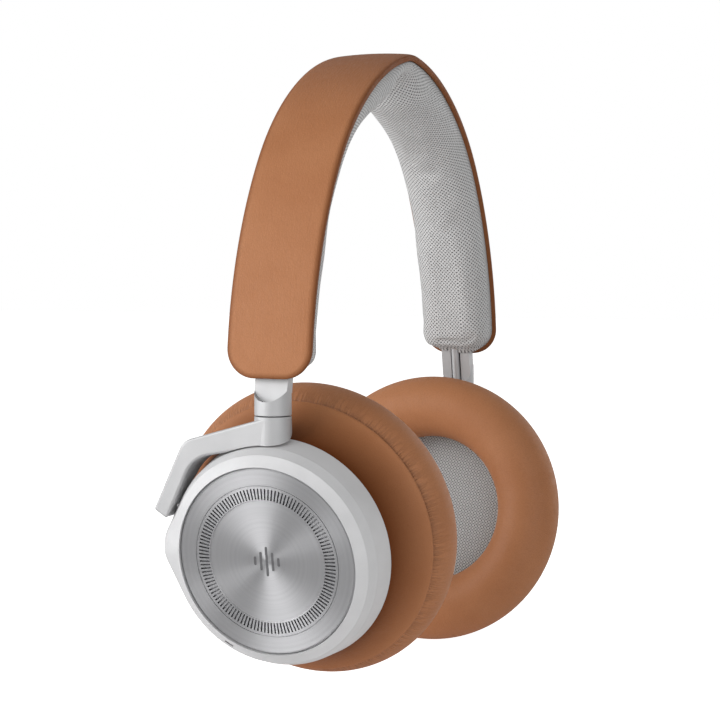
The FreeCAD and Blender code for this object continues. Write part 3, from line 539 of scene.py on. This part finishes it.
def arc_through(a, b, c, count):
    """Points on the circle through three (height, radius) points, from a to c."""
    ax, ay, bx, by, cx, cy = *a, *b, *c
    a2, b2, c2 = ax**2 + ay**2, bx**2 + by**2, cx**2 + cy**2
    d = 2 * (ax * (by - cy) + bx * (cy - ay) + cx * (ay - by))
    ux = (a2 * (by - cy) + b2 * (cy - ay) + c2 * (ay - by)) / d
    uy = (a2 * (cx - bx) + b2 * (ax - cx) + c2 * (bx - ax)) / d
    radius = math.hypot(ax - ux, ay - uy)
    first = math.atan2(ay - uy, ax - ux)
    last = math.atan2(cy - uy, cx - ux)
    turn = (last - first + math.pi) % (2 * math.pi) - math.pi
    angles = [first + turn * i / count for i in range(count + 1)]
    return [(ux + radius * math.cos(angle), uy + radius * math.sin(angle)) for angle in angles]


def lathe(cup, name, profile, segments, replaced):
    """Turned piece about the cup's axis; the profile is a closed run of (height, radius) pairs."""
    points, flow, run = [], [], 0.0
    before = profile[0]
    for height, radius in profile:
        run += math.hypot(height - before[0], radius - before[1])
        before = (height, radius)
        for k in range(segments):
            angle = 2 * math.pi * k / segments
            points.append(cup.at(height, radius, angle))
            flow.append((math.cos(angle) * radius, math.sin(angle) * radius, run))
    faces = grid_faces(len(profile), segments, close_rows=True, close_columns=True)
    if cup.side == "left":
        faces = [f[::-1] for f in faces]
    piece = new_mesh(name, points, faces, cup.body, replaced)
    point_vector(piece, "flow", flow)
    return piece


def skirt(cup):
    """Leather over a flared former, with a folded rim; painted shade darkens it towards the ring."""
    face = arc_through(SKIRT_FOOT, SKIRT_MIDDLE, SKIRT_RIM, 26)
    back = arc_through(BACK_RIM, BACK_MIDDLE, BACK_FOOT, 14)
    piece = lathe(cup, "skirt_leather_" + cup.side, face + RIM_FOLD + back, SKIRT_SEGMENTS,
                  ("skirt_" + cup.side,))
    # Painted shade: the mask runs from 0 at the rim to 1 at the ring, where shade falls.
    reach = SKIRT_FOOT[0] - SKIRT_RIM[0]
    height = (coordinates(piece.data) - cup.origin) @ cup.out
    point_value(piece, "wear_and_painted_shade", np.clip((height - SKIRT_RIM[0]) / reach, 0.0, 1.0))
    return piece


# ---- material nodes ----
def set_inputs(tree, made, inputs):
    """Link each input to another node's output, or give it a plain value."""
    for key, value in inputs.items():
        if isinstance(value, bpy.types.NodeSocket):
            tree.links.new(value, made.inputs[key])
        else:
            made.inputs[key].default_value = value


def node(tree, kind, inputs=None, **settings):
    made = tree.nodes.new(kind)
    for key, value in settings.items():
        setattr(made, key, value)
    set_inputs(tree, made, inputs or {})
    return made


def math_node(tree, operation, a, b=0.5):
    return node(tree, "ShaderNodeMath", {0: a, 1: b}, operation=operation).outputs[0]


def vector_node(tree, operation, inputs):
    return node(tree, "ShaderNodeVectorMath", inputs, operation=operation).outputs


def remap(tree, value, low, high, to_low, to_high):
    """Straight run from low and high to two other values, held at its ends."""
    limits = {"Value": value, "From Min": low, "From Max": high, "To Min": to_low, "To Max": to_high}
    return node(tree, "ShaderNodeMapRange", limits, clamp=True).outputs[0]


def mix_colour(tree, factor, a, b):
    return node(tree, "ShaderNodeMix", {0: factor, 6: a, 7: b}, data_type="RGBA").outputs[2]


def scaled(tree, vector, scale):
    return node(tree, "ShaderNodeMapping", {"Vector": vector, "Scale": scale}).outputs[0]


def noise(tree, vector, scale=1.0, detail=2.0, roughness=0.5):
    inputs = {"Vector": vector, "Scale": scale, "Detail": detail, "Roughness": roughness}
    return node(tree, "ShaderNodeTexNoise", inputs).outputs["Fac"]


def ring_noise(tree, radius, cells, detail):
    """Noise that changes with the radius only."""
    inputs = {"W": math_node(tree, "MULTIPLY", radius, cells), "Scale": 1.0, "Detail": detail}
    return node(tree, "ShaderNodeTexNoise", inputs, noise_dimensions="1D").outputs["Fac"]


def attribute(tree, name, output="Fac"):
    """What a piece's points carry under a name, as a number or as a vector."""
    return node(tree, "ShaderNodeAttribute", attribute_name=name).outputs[output]


def object_place(tree):
    return node(tree, "ShaderNodeTexCoord").outputs["Object"]


def bump(tree, height, strength, distance, normal=None):
    inputs = {"Height": height, "Strength": strength, "Distance": distance}
    if normal is not None:
        inputs["Normal"] = normal
    return node(tree, "ShaderNodeBump", inputs).outputs[0]


def new_material(name):
    made = bpy.data.materials.new(name)
    made.use_nodes = True
    tree = made.node_tree
    shader = next(n for n in tree.nodes if n.type == "BSDF_PRINCIPLED")
    return made, tree, shader


def linear(value):
    """Linear light of a display value from 0 to 255."""
    share = value / 255
    return share / 12.92 if value <= 10 else ((share + 0.055) / 1.055) ** 2.4


def rgb(r, g, b):
    return (linear(r), linear(g), linear(b), 1.0)


def dimmed(colour, share):
    """A darker colour; the share is one number, or one each for red, green and blue."""
    return tuple(np.multiply(colour[:3], share)) + (1.0,)


# ---- leather; cells per metre are given twice across the flow and once along it ----
TAN_LIGHT = rgb(178, 120, 80)
TAN_DARK = rgb(167, 108, 68)
GRAIN_CELLS = (2300, 2300, 900)
HAIR_CELLS = (1500, 1500, 330)
FOLD_CELLS = (1000, 1000, 110)
STAIN_CELLS = 55.0
GRAIN_HEIGHT = 0.12 * MM
HAIR_HEIGHT = 0.22 * MM
CREASE_HEIGHT = 0.3 * MM
CREASE_WIDTH = 0.12
PORE_SHARE = 0.45
CREASE_SHADE_SHARE = 0.35
# Shares of the dark tan, and the gloss, where the mask of real edge wear and painted shade is full.
WEAR_AND_SHADE_SHARES = (0.3, 0.2, 0.12)
WEAR_AND_SHADE_GLOSS = 0.04


def leather_creases(tree, flow, amount):
    """Soft folds that run off the seams: 0 outside a fold, and up to the amount inside one."""
    fold = noise(tree, scaled(tree, flow, FOLD_CELLS), detail=2.5, roughness=0.55)
    ridge = math_node(tree, "ABSOLUTE", math_node(tree, "SUBTRACT", fold, 0.5))
    ridge = remap(tree, ridge, 0.0, CREASE_WIDTH, 0.0, 1.0)
    near = math_node(tree, "POWER", attribute(tree, "seam"), 1.5)
    near = math_node(tree, "MULTIPLY", near, amount)
    return math_node(tree, "MULTIPLY", math_node(tree, "SUBTRACT", 1.0, ridge), near)


def leather(name, light, dark, grain=1.0, creases=0.0, wear_and_painted_shade=0.0, gloss=0.3):
    """Fine-grained calf leather; the grain is drawn out along the piece's flow."""
    made, tree, shader = new_material(name)
    flow = attribute(tree, "flow", "Vector")
    fine = node(tree, "ShaderNodeTexVoronoi", {"Vector": scaled(tree, flow, GRAIN_CELLS), "Scale": 1.0},
                feature="DISTANCE_TO_EDGE").outputs["Distance"]
    hair = noise(tree, scaled(tree, flow, HAIR_CELLS), detail=3.0, roughness=0.6)
    stain = noise(tree, object_place(tree), STAIN_CELLS, detail=3.0)
    crease = leather_creases(tree, flow, creases)
    normal = bump(tree, remap(tree, fine, 0.0, 0.25, 0.0, 1.0), 0.22 * grain, GRAIN_HEIGHT)
    normal = bump(tree, hair, 0.5 * grain, HAIR_HEIGHT, normal)
    normal = bump(tree, crease, 0.7, -CREASE_HEIGHT, normal)
    tone = mix_colour(tree, remap(tree, stain, 0.3, 0.7, 0.15, 0.8), light, dark)
    tone = mix_colour(tree, remap(tree, fine, 0.0, 0.12, 0.16, 0.0), tone, dimmed(dark, PORE_SHARE))
    # Painted shade darkens the colour in the creases.
    tone = mix_colour(tree, math_node(tree, "MULTIPLY", crease, 0.45), tone, dimmed(dark, CREASE_SHADE_SHARE))
    # Real edge wear and painted shade (the band's crown, the skirt towards the ring) darken the colour and
    # dull the gloss.
    if wear_and_painted_shade:
        wear_and_shade = math_node(tree, "POWER", attribute(tree, "wear_and_painted_shade"), 0.65)
        wear_and_shade = math_node(tree, "MULTIPLY", wear_and_shade, wear_and_painted_shade)
        tone = mix_colour(tree, wear_and_shade, tone, dimmed(dark, WEAR_AND_SHADE_SHARES))
        gloss = remap(tree, wear_and_shade, 0.0, 0.9, gloss, WEAR_AND_SHADE_GLOSS)
    rough = remap(tree, hair, 0.3, 0.7, 0.5, 0.66)
    set_inputs(tree, shader, {"Base Color": tone, "Roughness": rough, "Normal": normal,
                              "Specular IOR Level": gloss})
    return made


# ---- cloths; pitches are the distances from one opening to the next ----
KNIT_PITCH_ACROSS = 1.4 * MM
KNIT_PITCH_ALONG = 1.5 * MM
KNIT_FUZZ_CELLS = (2600, 1, 2600)
KNIT_CLOUD_CELLS = 90.0
KNIT_HEIGHT = 0.3 * MM
WEAVE_PITCH = 0.78 * MM
WEAVE_TURN = math.radians(38)
WEAVE_FUZZ_CELLS = (3000, 3000, 1)
WEAVE_HEIGHT = 0.2 * MM


def knit(name, light, hole):
    """Spacer knit: light yarn with small dark openings in staggered rows."""
    made, tree, shader = new_material(name)
    flow = attribute(tree, "flow", "Vector")
    part = node(tree, "ShaderNodeSeparateXYZ", {"Vector": flow}).outputs
    across = math_node(tree, "MULTIPLY", part["X"], 2 * math.pi / KNIT_PITCH_ACROSS)
    along = math_node(tree, "MULTIPLY", part["Z"], 2 * math.pi / KNIT_PITCH_ALONG)
    plus = math_node(tree, "COSINE", math_node(tree, "ADD", across, along))
    minus = math_node(tree, "COSINE", math_node(tree, "SUBTRACT", across, along))
    opening = remap(tree, math_node(tree, "ADD", plus, minus), 0.35, 1.5, 0.0, 1.0)
    fuzz = noise(tree, scaled(tree, flow, KNIT_FUZZ_CELLS), detail=4.0)
    cloud = noise(tree, object_place(tree), KNIT_CLOUD_CELLS)
    tone = mix_colour(tree, remap(tree, fuzz, 0.3, 0.7, 0.0, 0.35), light, dimmed(light, 0.72))
    tone = mix_colour(tree, remap(tree, cloud, 0.35, 0.65, 0.0, 0.06), tone, hole)
    tone = mix_colour(tree, math_node(tree, "MULTIPLY", opening, 0.8), tone, hole)
    # Painted shade darkens the knit towards its seams with the leather.
    tone = mix_colour(tree, math_node(tree, "MULTIPLY", attribute(tree, "seam"), 0.25), tone, hole)
    height = math_node(tree, "SUBTRACT", math_node(tree, "MULTIPLY", fuzz, 0.3), opening)
    set_inputs(tree, shader, {"Base Color": tone, "Normal": bump(tree, height, 0.8, KNIT_HEIGHT),
                              "Roughness": 0.88, "Specular IOR Level": 0.2,
                              "Sheen Weight": 0.25, "Sheen Roughness": 0.4})
    return made


def weave(name, light, dark):
    """Plain diagonal weave of round yarns, with small gaps between them."""
    made, tree, shader = new_material(name)
    flow = attribute(tree, "flow", "Vector")
    turned = node(tree, "ShaderNodeMapping", {"Vector": flow, "Rotation": (0, 0, WEAVE_TURN)}).outputs[0]
    part = node(tree, "ShaderNodeSeparateXYZ", {"Vector": turned}).outputs
    warp, weft = (math_node(tree, "MULTIPLY", part[way], 2 * math.pi / WEAVE_PITCH) for way in "XY")
    across, along = (math_node(tree, "COSINE", yarn) for yarn in (warp, weft))
    gap = remap(tree, math_node(tree, "ADD", across, along), 0.5, 1.5, 0.0, 1.0)
    rise, fall = (math_node(tree, "SINE", math_node(tree, "MULTIPLY", yarn, 0.5)) for yarn in (warp, weft))
    over = math_node(tree, "MULTIPLY", rise, fall)
    fuzz = noise(tree, scaled(tree, flow, WEAVE_FUZZ_CELLS), detail=3.0)
    tone = mix_colour(tree, remap(tree, over, -0.6, 0.6, 0.0, 0.5), light, dimmed(light, 0.6))
    tone = mix_colour(tree, remap(tree, fuzz, 0.3, 0.7, 0.0, 0.2), tone, dark)
    tone = mix_colour(tree, gap, tone, dark)
    height = math_node(tree, "SUBTRACT", math_node(tree, "MULTIPLY", over, 0.4), gap)
    set_inputs(tree, shader, {"Base Color": tone, "Normal": bump(tree, height, 0.7, WEAVE_HEIGHT),
                              "Roughness": 0.85, "Specular IOR Level": 0.2})
    return made


# ---- metals and plastics; cells are per metre ----
TOOTH_CELLS = 9000.0
TOOTH_HEIGHT = 0.02 * MM
SMUDGE_CELLS = 70.0
FINE_RING_CELLS = 9000.0
BROAD_RING_CELLS = 1300.0
SPARK_CELLS = 2500.0
SPARK_HEIGHT = 0.05 * MM
PLASTIC_CLOUD_CELLS = 60.0
MESH_CELLS = 1800.0
MESH_DEPTH = 0.1 * MM


def satin_metal(name, colour, rough, metallic=1.0):
    """Bead-blasted, anodised aluminium: an even fine tooth, with faint handling marks."""
    made, tree, shader = new_material(name)
    place = object_place(tree)
    tooth = noise(tree, place, TOOTH_CELLS)
    smudge = noise(tree, place, SMUDGE_CELLS, detail=4.0)
    tone = mix_colour(tree, remap(tree, smudge, 0.35, 0.65, 0.0, 1.0), colour, dimmed(colour, 0.95))
    set_inputs(tree, shader, {"Base Color": tone, "Metallic": metallic,
                              "Roughness": remap(tree, smudge, 0.3, 0.7, rough, rough + 0.07),
                              "Normal": bump(tree, tooth, 0.12, TOOTH_HEIGHT)})
    return made


def spun_metal(name, cup, colour):
    """Fine circular turning marks; the gloss stretches from the centre outwards."""
    made, tree, shader = new_material(name)
    centre = tuple(float(c) for c in cup.origin)
    axis = tuple(float(c) for c in cup.out)
    off = vector_node(tree, "SUBTRACT", {0: object_place(tree), 1: centre})[0]
    height = vector_node(tree, "DOT_PRODUCT", {0: off, 1: axis})["Value"]
    along = vector_node(tree, "SCALE", {0: axis, "Scale": height})[0]
    radial = vector_node(tree, "SUBTRACT", {0: off, 1: along})[0]
    radius = vector_node(tree, "LENGTH", {0: radial})["Value"]
    outwards = vector_node(tree, "NORMALIZE", {0: radial})[0]
    outwards = node(tree, "ShaderNodeVectorTransform", {"Vector": outwards}, vector_type="VECTOR",
                    convert_from="OBJECT", convert_to="WORLD").outputs[0]
    fine = ring_noise(tree, radius, FINE_RING_CELLS, 2.0)
    broad = ring_noise(tree, radius, BROAD_RING_CELLS, 1.0)
    tone = mix_colour(tree, remap(tree, fine, 0.3, 0.7, 0.0, 1.0), colour, dimmed(colour, 0.9))
    set_inputs(tree, shader, {"Base Color": tone, "Metallic": 1.0, "Anisotropic": 0.95, "Tangent": outwards,
                              "Roughness": remap(tree, broad, 0.3, 0.7, 0.53, 0.61)})
    return made


def moulded(name, colour, rough):
    """Moulded plastic with a fine spark texture."""
    made, tree, shader = new_material(name)
    place = object_place(tree)
    spark = noise(tree, place, SPARK_CELLS, detail=3.0)
    cloud = noise(tree, place, PLASTIC_CLOUD_CELLS)
    tone = mix_colour(tree, remap(tree, cloud, 0.35, 0.65, 0.0, 1.0), colour, dimmed(colour, 0.82))
    set_inputs(tree, shader, {"Base Color": tone, "Normal": bump(tree, spark, 0.2, SPARK_HEIGHT),
                              "Roughness": remap(tree, spark, 0.3, 0.7, rough, rough + 0.1)})
    return made


def perforated(name, colour, hole):
    """Fine punched mesh behind the slots."""
    made, tree, shader = new_material(name)
    cells = node(tree, "ShaderNodeTexVoronoi", {"Vector": object_place(tree), "Scale": MESH_CELLS,
                                                "Randomness": 0.15}).outputs["Distance"]
    opening = remap(tree, cells, 0.25, 0.35, 1.0, 0.0)
    set_inputs(tree, shader, {"Base Color": mix_colour(tree, opening, colour, hole), "Roughness": 0.55,
                              "Normal": bump(tree, opening, 0.6, -MESH_DEPTH), "Metallic": 0.6})
    return made


# ---- build ----
cups = {side: Cup(side) for side in SIDES}
cover = band_leather()
pad, pad_pins = band_pad()
cushions = {side: cushion(cups[side]) for side in SIDES}
cloths = [ear_cloth(cups[side]) for side in SIDES]
skirts = [skirt(cups[side]) for side in SIDES]

inflate(pad, pad_pins, PAD_PRESSURE, PAD_SWELL)
for side in SIDES:
    inflate(*cushions[side], CUSHION_PRESSURE, CUSHION_SWELL)
for side in SIDES:
    puckers(cushions[side][0], cups[side])
    subdivide(cushions[side][0])
subdivide(pad)

# ---- a finish for every material slot of the record ----
FINISH = {
    "band_leather": leather("band_calf_leather", TAN_LIGHT, TAN_DARK, wear_and_painted_shade=0.7),
    "cushion_leather": leather("cushion_lamb_leather", TAN_LIGHT, TAN_DARK, grain=0.8, creases=1.0,
                               gloss=0.38),
    "skirt_leather": leather("skirt_calf_leather", TAN_LIGHT, TAN_DARK, grain=0.45, wear_and_painted_shade=0.97),
    "pad_knit": knit("pad_spacer_knit", rgb(209, 209, 209), rgb(74, 74, 76)),
    "ear_cloth": weave("ear_woven_cloth", rgb(200, 202, 202), rgb(72, 76, 78)),
    "satin_aluminium": satin_metal("satin_aluminium", rgb(187, 187, 188), 0.56, metallic=0.7),
    "steel": satin_metal("bright_steel", rgb(190, 190, 192), 0.22),
    "dark_plastic": moulded("dark_moulded_plastic", rgb(24, 24, 25), 0.5),
    # The black mesh is painted pale grey: painted light that lifts the shade inside the slots.
    "black_mesh": perforated("black_mesh", rgb(228, 228, 230), rgb(150, 150, 152)),
    "emblem_ink": moulded("emblem_ink", rgb(96, 96, 98), 0.6),
    "diaphragm_film": moulded("diaphragm_film", rgb(120, 104, 70), 0.3),
    "board": moulded("circuit_laminate", rgb(26, 78, 48), 0.45),
    "battery_wrap": moulded("battery_wrap", rgb(40, 60, 100), 0.4),
}
# Painted light: a paler copy of the satin aluminium for the outer rings, standing in for light they don't
# catch.
lit_ring_metal = satin_metal("ring_aluminium_painted_light", rgb(213, 213, 214), 0.72, metallic=0.55)
spun = {side: spun_metal("spun_aluminium_" + side, cups[side], rgb(193, 193, 195)) for side in SIDES}


def dress(piece, finish):
    piece.data.materials.clear()
    piece.data.materials.append(finish)


def node_finish(name, slot):
    """The slot's finish; the rings get a paler copy of the aluminium as painted light, and each spun disc
    turns about its own cup.
    """
    if name.startswith("outer_ring"):
        return lit_ring_metal
    if slot == "spun_aluminium":
        return spun[name.rsplit("_", 1)[1]]
    return FINISH[slot]


dress(cover, FINISH["band_leather"])
dress(pad, FINISH["pad_knit"])
for side in SIDES:
    dress(cushions[side][0], FINISH["cushion_leather"])
for piece in cloths:
    dress(piece, FINISH["ear_cloth"])
for piece in skirts:
    dress(piece, FINISH["skirt_leather"])
slot_of = {entry["node"]: entry["material_slot"] for entry in frame["record"]["subparts"]}
for name, piece in nodes.items():
    dress(piece, node_finish(name, slot_of[name]))

# ---- floor ----
FLOOR_REACH = 3.0
FLOOR_STEPS = 12
FLOOR_GLOW = 0.75
FLOOR_BOUNCE = 0.2
PAPER_CELLS = 300.0
WHITE = (1, 1, 1, 1)
PAPER_LIGHT = (0.9, 0.9, 0.9, 1)
PAPER_DARK = (0.88, 0.88, 0.88, 1)


def floor_paper():
    """Pale paper that glows a little, so that it looks evenly white from the camera."""
    made, tree, shader = new_material("pale_paper")
    fibre = noise(tree, object_place(tree), PAPER_CELLS)
    tone = mix_colour(tree, remap(tree, fibre, 0.3, 0.7, 0.0, 1.0), PAPER_LIGHT, PAPER_DARK)
    seen = node(tree, "ShaderNodeLightPath").outputs["Is Camera Ray"]
    glow = math_node(tree, "ADD", math_node(tree, "MULTIPLY", seen, FLOOR_GLOW), FLOOR_BOUNCE)
    set_inputs(tree, shader, {"Base Color": tone, "Roughness": 0.9, "Specular IOR Level": 0.1,
                              "Emission Color": WHITE, "Emission Strength": glow})
    return made


floor_mesh = bpy.data.meshes.new("floor")
rows = np.linspace(-FLOOR_REACH, FLOOR_REACH, FLOOR_STEPS + 1)
floor_mesh.from_pydata([(x, y, 0.0) for x in rows for y in rows], [], grid_faces(len(rows), len(rows)))
floor = bpy.data.objects.new("floor", floor_mesh)
scene.collection.objects.link(floor)
dress(floor, floor_paper())

# ---- camera: it looks along the ground at an angle from +X, and a little down ----
VIEW_ANGLE = 0.41
VIEW_DROP = 0.056
TARGET = Vector((0.0, 0.0054, 0.0999))
DISTANCE = 0.6783
LENS_LENGTH = 103.1
SENSOR_WIDTH = 36.0
NEAR_LIMIT = 0.01
FLAT_WAY = Vector((math.cos(VIEW_ANGLE), math.sin(VIEW_ANGLE), 0))
RIGHT_WAY = Vector((math.sin(VIEW_ANGLE), -math.cos(VIEW_ANGLE), 0))
UP = Vector((0, 0, 1))


def look(item, place, way):
    """Put a camera or lamp at a place, facing a way."""
    item.location = place
    item.rotation_mode = "QUATERNION"
    item.rotation_quaternion = way.to_track_quat("-Z", "Y")
    scene.collection.objects.link(item)


lens = bpy.data.cameras.new("camera")
lens.sensor_width = SENSOR_WIDTH
lens.lens = LENS_LENGTH
lens.clip_start = NEAR_LIMIT
camera = bpy.data.objects.new("camera", lens)
ahead = FLAT_WAY * math.cos(VIEW_DROP) - UP * math.sin(VIEW_DROP)
look(camera, TARGET - ahead * DISTANCE, ahead)
scene.camera = camera

# ---- lights ----
LIGHT_AIM = Vector((0, 0, 0.1))
AMBIENT = 0.22
ROOM_GLOSS = 0.6


def softbox(name, place, width, height, watts):
    light = bpy.data.lights.new(name, "AREA")
    light.shape = "RECTANGLE"
    light.size = width
    light.size_y = height
    light.energy = watts
    look(bpy.data.objects.new(name, light), place, LIGHT_AIM - place)


def studio_world():
    """White to the camera, and dimmer as a light and in reflections."""
    made = bpy.data.worlds.new("studio")
    made.use_nodes = True
    sky = made.node_tree
    ray = node(sky, "ShaderNodeLightPath").outputs
    room = remap(sky, ray["Is Glossy Ray"], 0.0, 1.0, AMBIENT, ROOM_GLOSS)
    strength = math_node(sky, "MAXIMUM", room, ray["Is Camera Ray"])
    set_inputs(sky, sky.nodes["Background"], {"Color": WHITE, "Strength": strength})
    return made


softbox("key", -FLAT_WAY * 0.42 - RIGHT_WAY * 1.2 + UP * 0.5, 1.5, 1.0, 16.5)
softbox("overhead", UP * 1.2 + FLAT_WAY * 0.2, 1.2, 1.0, 0.4)
softbox("rim", FLAT_WAY * 0.75 + RIGHT_WAY * 0.9 + UP * 0.3, 0.6, 1.2, 3.0)
softbox("fill", -FLAT_WAY * 1.2 + RIGHT_WAY * 0.6 + UP * 0.3, 1.0, 1.0, 5.5)
scene.world = studio_world()
scene.view_settings.view_transform = "Standard"
